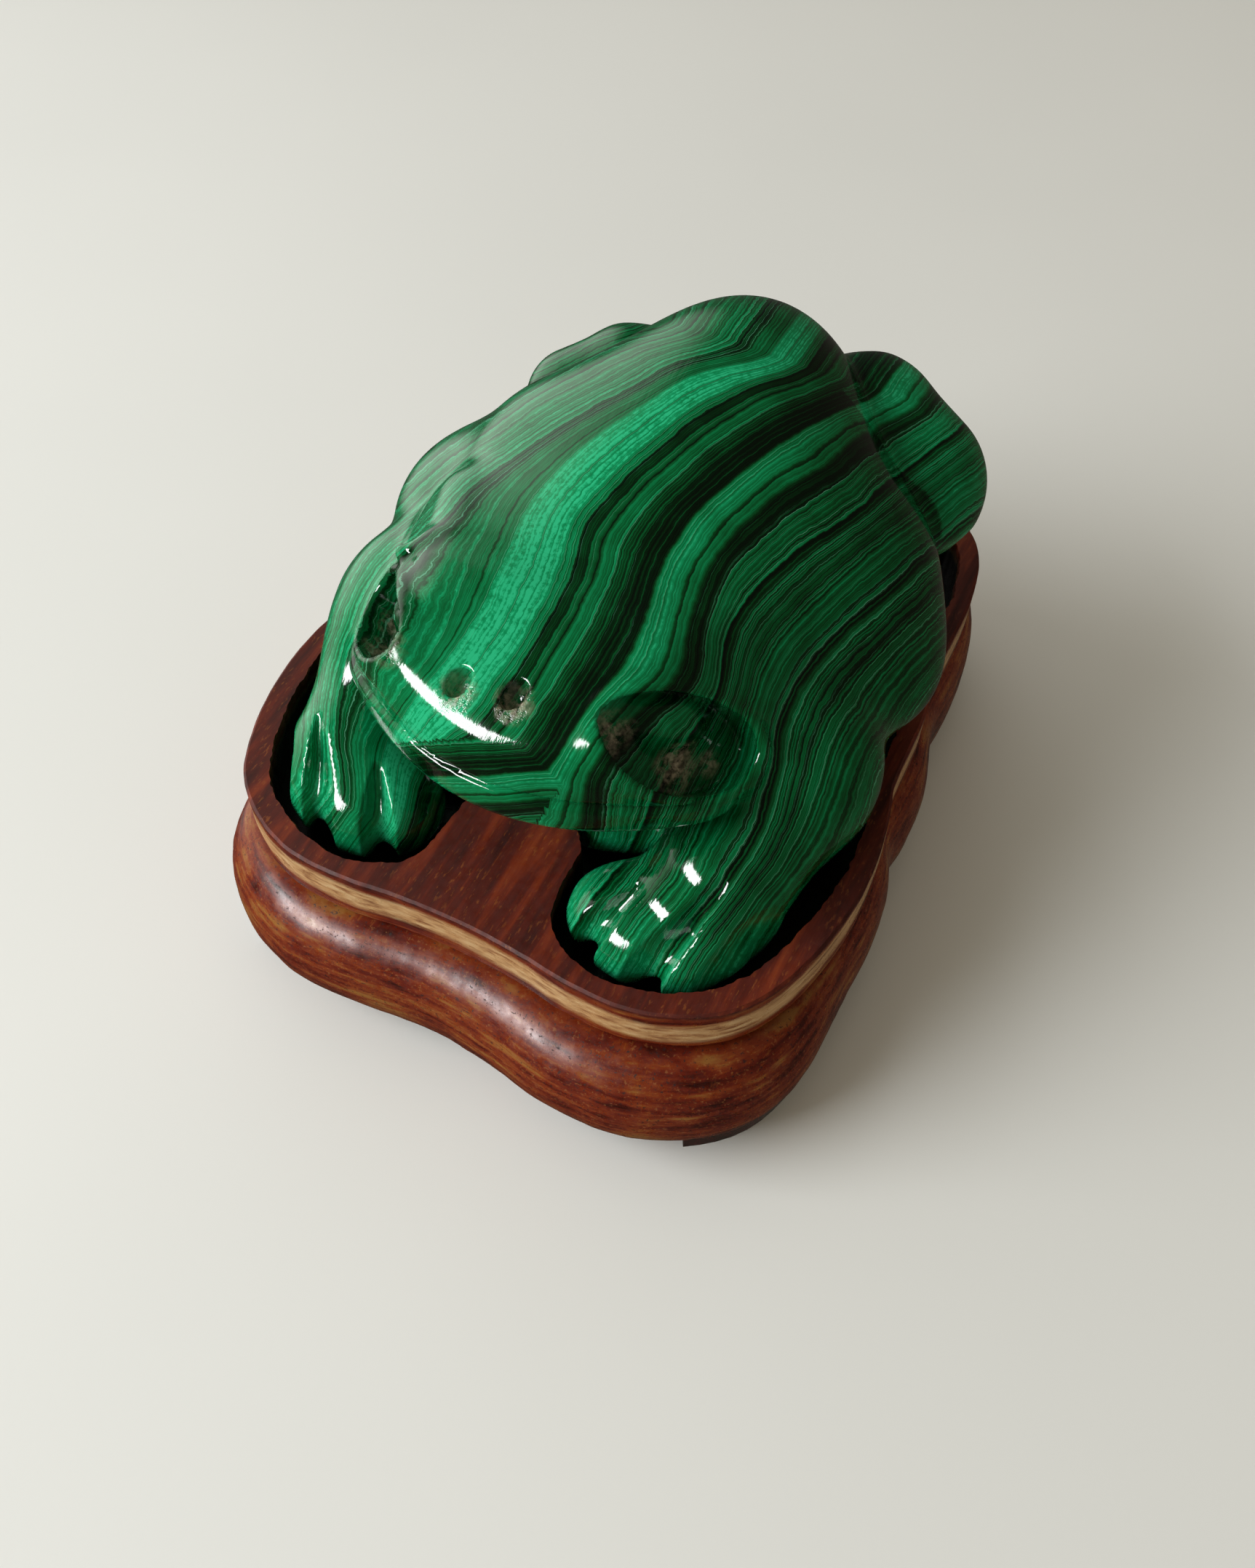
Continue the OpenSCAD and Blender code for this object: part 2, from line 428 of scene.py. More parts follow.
# Each eye opening, folded onto +X: its middle, the way from its front corner to its rear one,
# and the way it faces.
EYE = {1: np.array([19.5, -27.5, 52.8]), -1: np.array([20.0, -27.5, 53.4])}
EYE_ALONG = {1: np.array([0.650, 0.550, -0.525]), -1: np.array([0.53, 0.69, -0.493])}
EYE_OUT = {1: np.array([0.732, -0.267, 0.627]), -1: np.array([0.78, -0.24, 0.577])}
EYE_UP = {side: np.cross(EYE_OUT[side], EYE_ALONG[side]) for side in (1, -1)}
# Folds of skin on each side of the head: points folded onto +X, and the height at each
RIDGE_WIDTH = 1.5
RIDGES = {
    1: [([(13, -24, 61), (17.6, -22.2, 60.2), (22.2, -20.9, 57.2), (26, -20.2, 52.6), (28.2, -21.1, 48),
          (28.5, -24.3, 44.8)], [0.2, 0.7, 0.8, 0.8, 0.8, 0.5])],
    -1: [([(15.5, -17.2, 59.4), (18.5, -18.8, 59), (22.3, -20.8, 57.2), (19.6, -24.4, 57.6),
           (15.8, -30, 58.4), (13.3, -35.5, 57.6)], [0.1, 0.7, 1.4, 0.7, 0.4, 0.2]),
         ([(22.3, -20.8, 56.6), (24.8, -22.8, 52.4), (24.2, -26.5, 51.2), (22.2, -30.6, 51),
           (18, -35, 51.5)], [0.8, 0.6, 0.6, 0.5, 0.2])],
}
NOSTRILS = [(-5.3, -34.9, 56.3), (1.4, -34.0, 57.0)]
MOUTH_Z = 48.6
# Middles and radii of the ellipsoids, and ends and radii of the round cones, folded onto +X
LIMBS = {
    1: dict(flank=[(26, 5.5, 37.5), (14, 12.5, 10.5)],
            hip=[[(9, 37.5, 46.5), (17, 32, 50), (25, 28.5, 48), (23.5, 27, 40.5)],
                 [6, 11, 10.5, 7]],
            shoulder=[(27.5, -11, 34.5), (11.5, 12, 13.5)],
            arm=[(28, -14.5, 34.5), (26.5, -29, 31), 10, 9],
            paw=[(22.5, -36, 26), (12.8, 8.8, 6.5)]),
    -1: dict(flank=[(26, 5, 38), (12.5, 14.5, 13)],
             hip=[[(9, 38, 46.5), (17.5, 31, 47), (23.5, 26.5, 45), (25, 26.5, 41)],
                  [6.5, 7.5, 6.5, 6.5]],
             shoulder=[(27, -13, 35), (9.5, 13.5, 14)],
             arm=[(27, -13.5, 34.5), (25.5, -31, 29), 9.5, 8],
             paw=[(22, -35.5, 26), (11.5, 9, 7.5)]),
}
# Grooves between the toes of a forefoot: start, end and depth
TOE_GAPS = [((18.6, -36.0), (14.2, -44.5), 2.2), ((28.4, -34.0), (22.6, -45.5), 2.2),
            ((35.2, -31.5), (31.2, -42.5), 1.8)]


def limbs_field(p, side):
    """One side's flank, hip, shoulder, foreleg and forefoot."""
    q = p * np.array([side, 1, 1])
    part = LIMBS[side]
    d = lump(q, *part["flank"], yaw=5)
    hip = chain(q, *part["hip"], 3)
    leg = blend(lump(q, *part["shoulder"]), limb(q, *part["arm"]), 5)
    leg = blend(leg, lump(q, *part["paw"], yaw=8), 4)
    for a, b, depth in TOE_GAPS:
        leg = leg + dent(q, a, b, 0.6, 2.2, depth)
    return d, hip, leg


def head_field(p, q):
    """The head: a wedge with a steep snout and slanted cheeks. q is p folded onto one side."""
    x, y, z = p.T
    front = (-40.9 + 0.0175 * x * x - y) / np.sqrt(1 + (0.035 * x) ** 2)
    mouth = MOUTH_Z - 2 * (q[:, 0] / 26) ** 2
    front = front - 0.5 * np.clip((mouth - z) / 0.5, 0, 1)
    fall = np.clip(-22 - y, 0, 20)
    top = z - (61.3 - 0.0035 * x * x - 0.16 * fall - 0.014 * fall * fall)
    cheek = np.where(x > 0, *[(q - EYE[side]) @ EYE_OUT[side] for side in (1, -1)]) - 0.3
    d = cut(front, top, 4.0)
    d = cut(d, cheek, 2.2)
    d = cut(d, q[:, 0] - 27.2, 3)
    d = cut(d, 43.0 - z, 1.6)
    return cut(d, y + 4, 6), front, mouth


def eye_detail(d, q, side):
    """Carves one eye: a raised rim round a socket, with the eyeball rising from its floor."""
    r = q - EYE[side]
    along, up, out = r @ EYE_ALONG[side], r @ EYE_UP[side], r @ EYE_OUT[side]
    size = 1 if side > 0 else 0.86
    high = np.where(up > 0, 5.2, 7.0) * size
    rim = (np.sqrt((along / (11.3 * size)) ** 2 + (up / high) ** 2) - 1) * 4.5
    d = d - 0.6 * np.exp(-(rim / 0.8) ** 2 - (out / 3) ** 4)
    ball = np.clip(np.sqrt(((along + 0.3) / 8.2) ** 2 + ((up - 2.0) / 6.0) ** 2) - 0.2, 0, 0.7) / 0.7
    sunk = 0.6 + 3.2 * ball * ball * (3 - 2 * ball)
    return cut(d, -np.maximum(rim + 0.2, -(out + sunk)), 0.3)


def toad_field(p):
    """The whole toad, with a flat base and sides cut to stand clear of the pocket's wall."""
    x, y, z = p.T
    q = np.stack([np.abs(x), y, z], 1)
    back = lump(p, (4.5, 7.5, 44.5), (33.5, 22, 24.5))
    hump = lump(p, (3.5, 22, 50), (17, 17.5, 21))
    chest = lump(p, (0, -4.5, 42), (27.5, 27, 20.5))
    belly = lump(p, (0, 8, 26), (34, 38, 16))
    d = blend(blend(blend(back, hump, 10), chest, 8), belly, 3)
    sides = [limbs_field(p, 1), limbs_field(p, -1)]
    flank, hip, leg = [np.where(x > 0, a, b) for a, b in zip(*sides)]
    d = blend(d, flank, 6)
    d = blend(d, hip, 1.2)
    d = blend(d, leg, 4)
    head, front, mouth = head_field(p, q)
    d = blend(d, head, 2.5)
    d = np.where(x > 0, eye_detail(d, q, 1), eye_detail(d, q, -1))
    for side, ridges in RIDGES.items():
        for points, heights in ridges:
            d = np.where(x * side > 0, d - fold(q, points, heights, RIDGE_WIDTH), d)
    for nostril in NOSTRILS:
        d = cut(d, -lump(p, nostril, (1.4, 1.9, 2.2), yaw=-18), 0.3)
    seam = np.clip(1 - np.abs(z - mouth) / 0.45, 0, 1) * np.clip((front + 2) / 1.5, 0, 1)
    d = d + 0.55 * seam * (q[:, 0] < 27)
    d = cut(d, BASE_Z - z, 0.6)
    return cut(d, pocket_gap(x, y) + 0.9 - 1.1 * np.clip(z - 28.2, 0, 30), 0.8)


# Where polishing paste has stayed, in the nostrils and round the eyeballs: place and reach
GRIME = [(np.array(at) + [0.5, -0.6, -0.9], 2.0) for at in NOSTRILS] + [
    ((EYE[side] + a * EYE_ALONG[side] + u * EYE_UP[side] - 2.6 * EYE_OUT[side]) * [side, 1, 1], reach)
    for side in (1, -1) for a, u, reach in ((-7.6, -1.2, 2.4), (2.2, -3.4, 2.6), (6.8, -2.2, 1.6))]


# ---------------------------------------------------------------- materials
class Shader:
    """A short way to write a node material."""

    def __init__(self, name):
        self.material = bpy.data.materials.new(name)
        self.material.use_nodes = True
        self.tree = self.material.node_tree
        self.surface = self.tree.nodes["Principled BSDF"]
        self.place = self.node("ShaderNodeTexCoord").outputs["Object"]

    def node(self, kind, inputs=(), **settings):
        made = self.tree.nodes.new(kind)
        for key, value in settings.items():
            setattr(made, key, value)
        for key, value in dict(inputs).items():
            self.feed(made.inputs[key], value)
        return made

    def feed(self, socket, value):
        if isinstance(value, bpy.types.NodeSocket):
            self.tree.links.new(value, socket)
        else:
            socket.default_value = value

    def math(self, operation, *values, clamp=False):
        return self.node("ShaderNodeMath", enumerate(values), operation=operation,
                         use_clamp=clamp).outputs[0]

    def stretched(self, scale, turn=(0, 0, 0)):
        """The place of each point, with its axes scaled."""
        return self.node("ShaderNodeMapping", {"Vector": self.place, "Scale": scale,
                                               "Rotation": turn}).outputs[0]

    def noise(self, vector, scale, detail=3.0, rough=0.5, twist=0.0):
        return self.node("ShaderNodeTexNoise", {"Vector": vector, "Scale": scale, "Detail": detail,
                                                "Roughness": rough, "Distortion": twist}).outputs["Fac"]

    def along(self, w, scale, detail=2.0, rough=0.5):
        """Noise that varies with one number only."""
        made = self.node("ShaderNodeTexNoise", {"W": w, "Scale": scale, "Detail": detail,
                                                "Roughness": rough}, noise_dimensions="1D")
        return made.outputs["Fac"]

    def ramp(self, value, stops):
        made = self.node("ShaderNodeValToRGB", {"Fac": value})
        points = made.color_ramp.elements
        while len(points) < len(stops):
            points.new(1.0)
        for point, (at, colour) in zip(points, stops):
            point.position = at
            point.color = (*colour, 1) if isinstance(colour, tuple) else (colour,) * 3 + (1,)
        return made.outputs["Color"]

    def span(self, value, low, high, to_low=0.0, to_high=1.0):
        return self.node("ShaderNodeMapRange", {"Value": value, "From Min": low, "From Max": high,
                                                "To Min": to_low, "To Max": to_high}).outputs[0]

    def mix(self, share, a, b):
        made = self.node("ShaderNodeMix", data_type="RGBA")
        self.feed(made.inputs[0], share)
        for socket, value in ((made.inputs[6], a), (made.inputs[7], b)):
            self.feed(socket, (*value, 1) if isinstance(value, tuple) else value)
        return made.outputs[2]

    def bump(self, height, strength, distance, before=None):
        inputs = {"Height": height, "Strength": strength, "Distance": distance}
        if before is not None:
            inputs["Normal"] = before
        return self.node("ShaderNodeBump", inputs).outputs[0]

    def attribute(self, name):
        return self.node("ShaderNodeAttribute", attribute_name=name).outputs["Fac"]

    def finish(self, **inputs):
        for key, value in inputs.items():
            self.feed(self.surface.inputs[key.replace("_", " ")], value)
        return self.material


# Brightness of the stone's bands against the band number, which is in millimetres across the
# back: 0 is nearly black and 1 the palest green.
TONES = [(-44, .62), (-39.2, .62), (-38.4, .8), (-37.4, .38), (-35.4, .34), (-34.4, .55),
         (-28.6, .52), (-27.8, .9), (-25.2, .93), (-24.6, .82), (-21.4, .96), (-20.8, .62),
         (-19.2, .55), (-18.8, .22), (-16.6, .2), (-16.2, .55), (-15.6, .25), (-13.6, .62),
         (-11.6, .3), (-9.8, .34), (-9.2, .06), (-4.9, .05), (-4.4, .62), (-0.9, .64),
         (-0.4, .4), (1.4, .5), (2.2, .1), (4.6, .07), (5.4, .46), (9.0, .42), (9.4, .08)]
# Bands on the right side, away from the light: the stone's own bands, kept darker than those on the
# left with painted shade.
TONES_RIGHT_WITH_PAINTED_SHADE = [(9.4, .08), (10.6, .08), (11, .45), (12.6, .43), (13.1, .22), (15, .45), (16, .22),
               (17.2, .45), (23.2, .43), (23.8, .14), (24.8, .16), (25.2, .43), (27.4, .43),
               (28, .16), (28.7, .36), (29.2, .16), (30.4, .42), (40, .4)]
BAND_LOW, BAND_SPLIT, BAND_HIGH = -44.0, 9.4, 40.0


def malachite():
    """Banded green stone, polished, with dirt left in its hollows, painted shade on its right side and
    a painted reflection on its left hip.
    """
    s = Shader("malachite")
    soft = s.noise(s.place, 90, 3, 0.55)
    fine = s.noise(s.place, 900, 2, 0.6)
    band = s.attribute("band")
    band = s.math("ADD", band, s.span(soft, 0.3, 0.7, -0.45, 0.45))
    band = s.math("ADD", band, s.span(fine, 0.3, 0.7, -0.10, 0.10))
    left = s.ramp(s.span(band, BAND_LOW, BAND_SPLIT),
                  [((b - BAND_LOW) / (BAND_SPLIT - BAND_LOW), t) for b, t in TONES])
    # The right side's bands take the darker tones, which hold painted shade.
    right = s.ramp(s.span(band, BAND_SPLIT, BAND_HIGH),
                   [((b - BAND_SPLIT) / (BAND_HIGH - BAND_SPLIT), t) for b, t in TONES_RIGHT_WITH_PAINTED_SHADE])
    tone = s.mix(s.math("GREATER_THAN", band, BAND_SPLIT), left, right)
    threads = s.along(band, 1.5, 3.0, 0.75)
    tone = s.math("ADD", tone, s.span(threads, 0.32, 0.68, -0.30, 0.24))
    # Each area's tone shift, with a painted reflection on the left hip.
    tone = s.math("ADD", tone, s.attribute("paler"))
    speckle = s.noise(s.place, 1500, 2, 0.7)
    in_bright = s.span(tone, 0.7, 0.95)
    speckle = s.math("MULTIPLY", s.span(speckle, 0.35, 0.65, -0.22, 0.16), in_bright)
    tone = s.math("ADD", tone, speckle)
    cloud = s.noise(s.place, 260, 3, 0.6)
    tone = s.math("ADD", tone, s.span(cloud, 0.3, 0.7, -0.06, 0.06), clamp=True)
    colour = s.ramp(tone, [(0.0, (0.0004, 0.004, 0.0012)), (0.2, (0.0006, 0.02, 0.004)),
                           (0.4, (0.0010, 0.062, 0.014)), (0.6, (0.002, 0.15, 0.045)),
                           (0.8, (0.005, 0.28, 0.105)), (1.0, (0.022, 0.45, 0.205))])
    hairs = s.along(band, 3.1, 2.0, 0.7)
    pale = s.math("MULTIPLY", s.span(hairs, 0.66, 0.70), s.span(tone, 0.1, 0.3))
    colour = s.mix(s.math("MULTIPLY", pale, 0.55), colour, (0.12, 0.45, 0.27))
    grime = s.attribute("grime")
    dirt = s.noise(s.place, 700, 4, 0.65)
    dirt = s.math("MULTIPLY", grime, s.span(dirt, 0.40, 0.56), clamp=True)
    earth = s.ramp(s.noise(s.place, 1300, 3, 0.6),
                   [(0.35, (0.08, 0.06, 0.035)), (0.62, (0.44, 0.37, 0.27))])
    colour = s.mix(dirt, colour, earth)
    rough = s.span(s.noise(s.place, 350, 3, 0.6), 0.3, 0.7, 0.05, 0.13)
    rough = s.math("ADD", rough, s.math("MULTIPLY", dirt, 0.5))
    scratches = s.noise(s.stretched((2600, 260, 900), (0, 0, 0.6)), 1.0, 2, 0.5)
    relief = s.bump(s.math("ADD", scratches, s.math("MULTIPLY", soft, 0.5)), 0.05, 0.0004)
    relief = s.bump(dirt, 0.5, 0.0003, relief)
    return s.finish(Base_Color=colour, Roughness=rough, IOR=1.55, Specular_IOR_Level=0.4, Normal=relief)


def hardwood():
    """Reddish brown hardwood. Its grain runs along Y on the top, and round the swelling below."""
    s = Shader("hardwood")
    height = s.node("ShaderNodeSeparateXYZ", {"Vector": s.place}).outputs["Z"]      # metres
    top = s.span(height, 0.0268, 0.0274)
    below = s.span(height, 0.0195, 0.0185)
    grain = s.stretched((1.0, 0.10, 1.0))
    figure = s.noise(grain, 420, 5, 0.62, 0.3)
    blur = s.noise(s.stretched((150, 150, 150)), 1.0, 4, 0.6)
    level = s.noise(s.stretched((90, 90, 900)), 1.0, 5, 0.65)
    on_top = s.ramp(figure, [(0.3, (0.035, 0.003, 0.001)), (0.5, (0.10, 0.008, 0.001)),
                             (0.62, (0.18, 0.02, 0.002)), (0.8, (0.28, 0.045, 0.004))])
    on_side = s.ramp(s.math("ADD", s.math("MULTIPLY", level, 0.7), s.math("MULTIPLY", blur, 0.3)),
                     [(0.36, (0.035, 0.004, 0.002)), (0.45, (0.13, 0.012, 0.004)),
                      (0.53, (0.21, 0.032, 0.006)), (0.62, (0.28, 0.11, 0.022))])
    colour = s.mix(top, on_side, on_top)
    fibres = s.noise(s.stretched((2600, 700, 2600), (0, 0, 0.12)), 1.0, 3, 0.6)
    dashes = s.math("MULTIPLY", s.span(fibres, 0.58, 0.66), s.span(blur, 0.35, 0.6))
    colour = s.mix(s.math("MULTIPLY", dashes, 0.45), colour, (0.32, 0.09, 0.012))
    pores = s.noise(s.stretched((1900, 1900, 3200)), 1.0, 3, 0.65)
    pits = s.math("MULTIPLY", s.span(pores, 0.60, 0.66), below)
    flecks = s.math("MULTIPLY", s.span(pores, 0.40, 0.34), below)
    colour = s.mix(s.math("MULTIPLY", pits, 0.8), colour, (0.018, 0.003, 0.002))
    colour = s.mix(s.math("MULTIPLY", flecks, 0.4), colour, (0.36, 0.15, 0.05))
    bent = s.noise(s.stretched((30, 6, 30)), 1.0, 2, 0.5)
    wave = s.math("ADD", height, s.span(bent, 0.3, 0.7, -0.0012, 0.0012))
    streak = s.math("MULTIPLY", s.span(wave, 0.0212, 0.0222), s.span(wave, 0.0262, 0.0252))
    sap = s.ramp(s.noise(s.stretched((300, 60, 1300)), 1.0, 4, 0.6),
                 [(0.3, (0.22, 0.08, 0.03)), (0.5, (0.58, 0.34, 0.15)), (0.7, (0.75, 0.53, 0.28))])
    colour = s.mix(s.math("MULTIPLY", streak, 0.85), colour, sap)
    shade = s.attribute("shade")
    colour = s.mix(shade, colour, (0.004, 0.0025, 0.002))
    rough = s.span(s.noise(s.place, 900, 3, 0.6), 0.3, 0.7, 0.24, 0.40)
    rough = s.math("ADD", rough, s.math("MULTIPLY", pits, 0.25))
    rough = s.math("ADD", rough, s.math("MULTIPLY", top, 0.25))
    relief = s.bump(figure, 0.10, 0.0002)
    relief = s.bump(s.math("ADD", pits, dashes), -0.5, 0.00022, relief)
    return s.finish(Base_Color=colour, Roughness=rough, Specular_IOR_Level=0.35, Normal=relief)


def lacquer():
    """Nearly black wood under a thin gloss, for the feet."""
    s = Shader("dark_lacquer_wood")
    grain = s.noise(s.stretched((500, 60, 500)), 1.0, 4, 0.6)
    colour = s.ramp(grain, [(0.3, (0.012, 0.0012, 0.0018)), (0.7, (0.06, 0.006, 0.008))])
    rough = s.span(s.noise(s.place, 400, 3, 0.6), 0.3, 0.7, 0.12, 0.3)
    return s.finish(Base_Color=colour, Roughness=rough, Normal=s.bump(grain, 0.2, 0.0002),
                    Coat_Weight=0.6, Coat_Roughness=0.08)


def paper():
    """The pale ground that the stand is photographed on."""
    s = Shader("pale_floor")
    tint = s.ramp(s.noise(s.place, 6, 3, 0.5),
                  [(0.3, (0.80, 0.80, 0.785)), (0.7, (0.84, 0.84, 0.825))])
    return s.finish(Base_Color=tint, Roughness=0.8,
                    Normal=s.bump(s.noise(s.place, 900, 2, 0.5), 0.04, 0.0002))


# ---------------------------------------------------------------- bands in the stone
# The bands are sheets that fan out from the place of the camera that took the photograph, so
# they match it from there and are stretched on the sides that it doesn't see. Each sheet is
# followed on the plane of the stand's top, where a guide line, read off, gives its place
# across (x) at every station along the toad (y). A band's number is its x at one station.
FAN_POINT = np.array([58.0, -120.6, 182.1])
STATION_STEP = 10
STATIONS = np.arange(70, -41, -STATION_STEP)
NUMBER_STATION = 20
GUIDES = np.array([
    [-24, -30.5, -34.5, -38.5, -41, -43, -44, -45, -43.5, -40, -35, -30],
    [-16.5, -23.5, -27.5, -31.5, -34.5, -37, -38, -39.5, -38, -34.5, -29.5, -22],
    [-12.5, -20.5, -25, -29, -31.5, -33, -31.5, -29, -26, -25.5, -25, -19],
    [-10.5, -19, -23, -26, -27.5, -28, -26, -24, -23, -23, -22, -16.5],
    [-5, -12, -16, -18, -19.5, -20, -17, -15.5, -15, -14.5, -16.5, -13.5],
    [7.5, 2, -3, -5.5, -7, -7, -5, -4, -3.5, -3, -4, -4],
    [11.5, 6.5, 2.5, -0.5, -2, -2, 0, 2, 0.5, 0.5, 2, 2],
    [18, 14.5, 11, 7.5, 5, 4, 6, 9, 6.5, 5.5, 9, 9],
    [24.5, 21.5, 18.5, 15.5, 12, 9.5, 9.5, 12.5, 13, 13, 14, 13],
    [39, 36, 33, 30, 27.5, 24.5, 22.5, 22.5, 25.5, 27, 26.5, 25.5],
    [48, 46, 43.5, 40.5, 38, 35, 33.5, 33, 34, 34, 32.5, 32]])


def band_number(p):
    """The band number at each point of the stone."""
    lift = (p[:, 2] - TOP_Z) / (FAN_POINT[2] - p[:, 2])
    x, y = (p[:, :2] + (p[:, :2] - FAN_POINT[:2]) * lift[:, None]).T
    at = np.clip((STATIONS[0] - y) / STATION_STEP, 0, len(STATIONS) - 1.001)
    i = at.astype(int)
    f = at - i
    rows = np.pad(GUIDES, ((0, 0), (1, 2)), mode="edge")
    a, b, c, d = (rows[:, i + k] for k in range(4))
    lines = 0.5 * (2 * b + (c - a) * f + (2 * a - 5 * b + 4 * c - d) * f**2
                   + (3 * b - a - 3 * c + d) * f**3)
    numbers = GUIDES[:, list(STATIONS).index(NUMBER_STATION)]
    band = np.full(len(p), np.nan)
    for k in range(len(lines) - 1):
        span = lines[k + 1] - lines[k]
        t = (x - lines[k]) / span
        here = (t >= 0) & (t < 1)
        band[here] = (numbers[k] + t * (numbers[k + 1] - numbers[k]))[here]
    band = np.where(x < lines[0], numbers[0] + (x - lines[0]), band)
    band = np.where(x >= lines[-1], numbers[-1] + (x - lines[-1]), band)
    # On the snout the lines turn a corner and run across it.
    slant = y - 0.6 * x
    snout = (p[:, 2] > 43) & (slant < -15.6) & (y < -19) & (x < 1.5)
    return np.where(snout, np.maximum(band, -31.9 - 1.22 * slant), band)


def dirt_amount(p):
    """How dirty each point is, from 0 to 1."""
    amount = np.zeros(len(p))
    for at, reach in GRIME:
        amount = np.maximum(amount, np.clip(1.4 - np.linalg.norm(p - at, axis=1) / reach, 0, 1))
    return amount


def area_tone(p):
    """How much paler, or darker below zero, the stone is in each area, with a painted reflection on the
    left hip.
    """
    x, y, z = p.T
    left_forefoot = ramped(z, 34, 24) * ramped(y, -22, -30) * (x > 0)
    right_foot = ramped(z, 36, 28) * (x < -15)
    front, rear = ramped(y, 0, -15), ramped(y, 5, 30)
    tone = 0.5 * left_forefoot + 0.12 * right_foot + 0.08 * front - 0.13 * rear
    # The left hip is set paler all over: a painted reflection of the bright wall.
    hip_painted_reflection = (x > 17) & (y > 21)
    return np.where(hip_painted_reflection, 0.2, tone)


# ---------------------------------------------------------------- the object
stone, wood, dark_wood = malachite(), hardwood(), lacquer()

verts, quads = sculpted(toad_field, (-46, -52, 18), (46, 56, 75))
toad = solid("toad_sculpted", verts, quads, stone)
vertex_values(toad, "band", band_number(verts))
vertex_values(toad, "grime", dirt_amount(verts))
vertex_values(toad, "paler", area_tone(verts))
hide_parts("toad")
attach(toad, "toad")

stand = carved_stand(wood)
x, y, z = (np.array([v.co for v in stand.data.vertices]) / MM).T
down_the_wall = ramped(z, TOP_Z - 0.4, TOP_Z - 1.6)
vertex_values(stand, "shade", down_the_wall * ramped(pocket_gap(x, y), 1.5, 0.5))
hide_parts("stand")
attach(stand, "stand")

for name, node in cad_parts.items():
    if name.startswith("foot_"):
        node.data.materials.clear()
        node.data.materials.append(dark_wood)

# ---------------------------------------------------------------- floor, light and camera
REACH = 3                                      # from the middle of the floor to its sides
floor_mesh = bpy.data.meshes.new("floor")
floor_mesh.from_pydata([(-REACH, -REACH, 0), (REACH, -REACH, 0), (REACH, REACH, 0),
                        (-REACH, REACH, 0)], [], [(0, 1, 2, 3)])
floor_mesh.materials.append(paper())
floor = bpy.data.objects.new("floor", floor_mesh)
bpy.context.scene.collection.objects.link(floor)
floor.visible_glossy = False                   # its reflection would veil the dark bands


def window(name, place, aim, size, power, colour, in_gloss):
    """A lamp that either lights the pieces or only shows in their polish."""
    lamp = bpy.data.lights.new(name, "AREA")
    lamp.shape, lamp.size, lamp.size_y = "RECTANGLE", *size
    lamp.energy, lamp.color = power, colour
    obj = bpy.data.objects.new(name, lamp)
    obj.location = place
    obj.rotation_euler = (Vector(aim) - Vector(place)).to_track_quat("-Z", "Y").to_euler()
    obj.visible_diffuse, obj.visible_glossy = not in_gloss, in_gloss
    bpy.context.scene.collection.objects.link(obj)


window("window_left", place=(-0.55, -0.45, 0.50), aim=(0, 0, 0.02), size=(0.62, 0.42),
       power=7.0, colour=(0.965, 1.0, 1.0), in_gloss=False)
window("window_pane", place=(-0.42, -0.52, 0.46), aim=(0, -0.02, 0.05), size=(0.46, 0.22),
       power=9.0, colour=(1, 1, 1), in_gloss=True)

# The room lights the pieces from a wide, cool side and is dimmer and warmer elsewhere. What
# their polish shows is another room: dark, with one bright wall on the left.
world = bpy.data.worlds.new("room")
world.use_nodes = True
nodes, links = world.node_tree.nodes, world.node_tree.links
FULL = 0.97                                    # cosine within which the light is at its full
WARM, COOL = (1.0, 0.84, 0.55, 1), (0.96, 1.0, 1.0, 1)


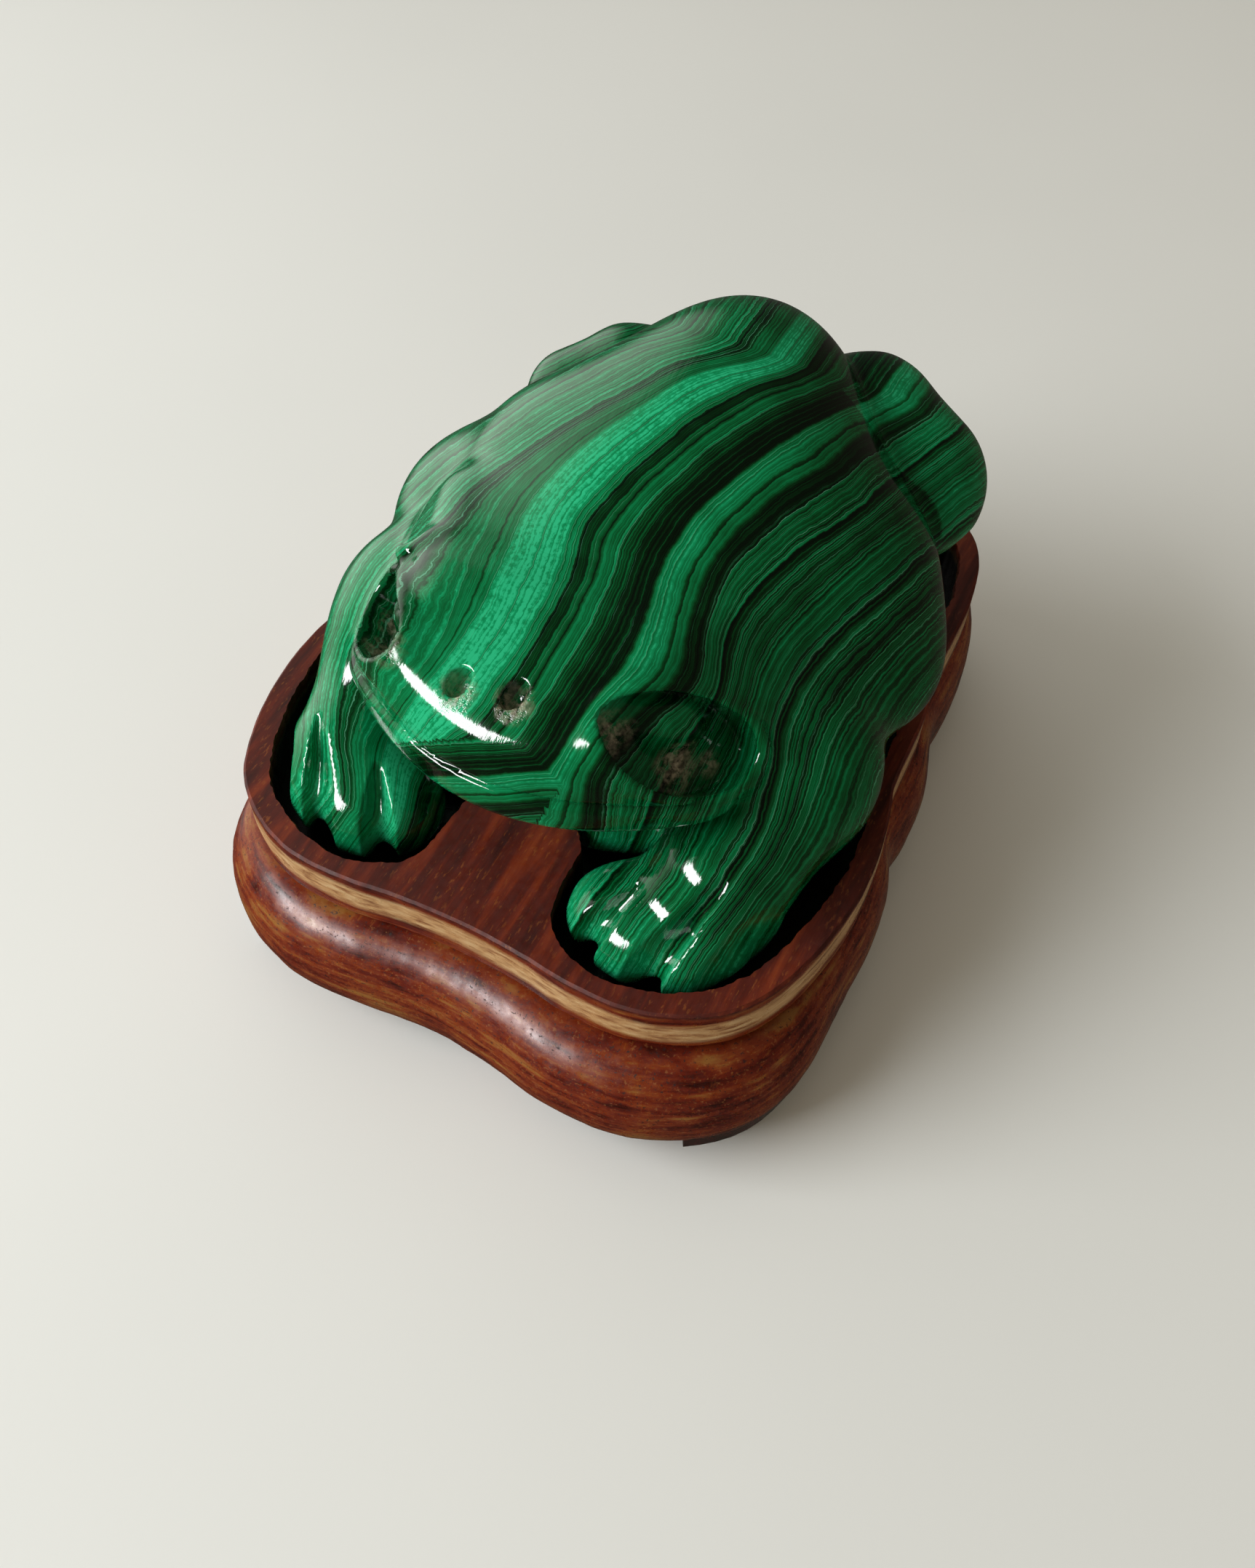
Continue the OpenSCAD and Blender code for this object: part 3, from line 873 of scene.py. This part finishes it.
def room_light(towards, edge, low, high):
    """Strength of the room's light: high in one direction, falling to low away from it."""
    facing = nodes.new("ShaderNodeVectorMath")
    facing.operation = "DOT_PRODUCT"
    facing.inputs[1].default_value = Vector(towards).normalized()
    links.new(nodes.new("ShaderNodeTexCoord").outputs["Generated"], facing.inputs[0])
    fade = nodes.new("ShaderNodeMapRange")
    fade.interpolation_type = "SMOOTHSTEP"
    links.new(facing.outputs["Value"], fade.inputs["Value"])
    for key, value in (("From Min", edge), ("From Max", FULL), ("To Min", low), ("To Max", high)):
        fade.inputs[key].default_value = value
    return fade.outputs[0]


wide = room_light((-0.80, 0.40, 0.15), 0.1, 0.26, 0.80)
wall = room_light((-0.93, 0.28, 0.22), 0.70, 0.06, 1.6)
strength = nodes.new("ShaderNodeMix")
links.new(nodes.new("ShaderNodeLightPath").outputs["Is Glossy Ray"], strength.inputs["Factor"])
links.new(wide, strength.inputs["A"])
links.new(wall, strength.inputs["B"])
links.new(strength.outputs["Result"], nodes["Background"].inputs["Strength"])
colour = nodes.new("ShaderNodeMix")
colour.data_type = "RGBA"
links.new(wide, colour.inputs["Factor"])
colour.inputs[6].default_value = WARM
colour.inputs[7].default_value = COOL
links.new(colour.outputs[2], nodes["Background"].inputs["Color"])
bpy.context.scene.world = world
bpy.context.scene.view_settings.view_transform = "Standard"

AZIMUTH, ELEVATION, ROLL = math.radians(26), math.radians(54), math.radians(1.5)
AIM, DISTANCE = Vector((0.0089, -0.020, 0.028)), 0.190476
FOCAL_WIDTHS = 2000 / 1725                     # focal length as a share of the picture's width
SENSOR_MM = 36
back = Vector((math.sin(AZIMUTH) * math.cos(ELEVATION), -math.cos(AZIMUTH) * math.cos(ELEVATION),
               math.sin(ELEVATION)))
level = Vector((math.cos(AZIMUTH), math.sin(AZIMUTH), 0))
upright = back.cross(level)
right = math.cos(ROLL) * level + math.sin(ROLL) * upright
up = math.cos(ROLL) * upright - math.sin(ROLL) * level
camera = bpy.data.objects.new("camera", bpy.data.cameras.new("camera"))
camera.data.sensor_fit = "HORIZONTAL"
camera.data.sensor_width = SENSOR_MM
camera.data.lens = SENSOR_MM * FOCAL_WIDTHS
camera.data.clip_start = 0.01
turned = Matrix((right, up, back)).transposed().to_4x4()
camera.matrix_world = Matrix.Translation(AIM + DISTANCE * back) @ turned
bpy.context.scene.collection.objects.link(camera)
bpy.context.scene.camera = camera
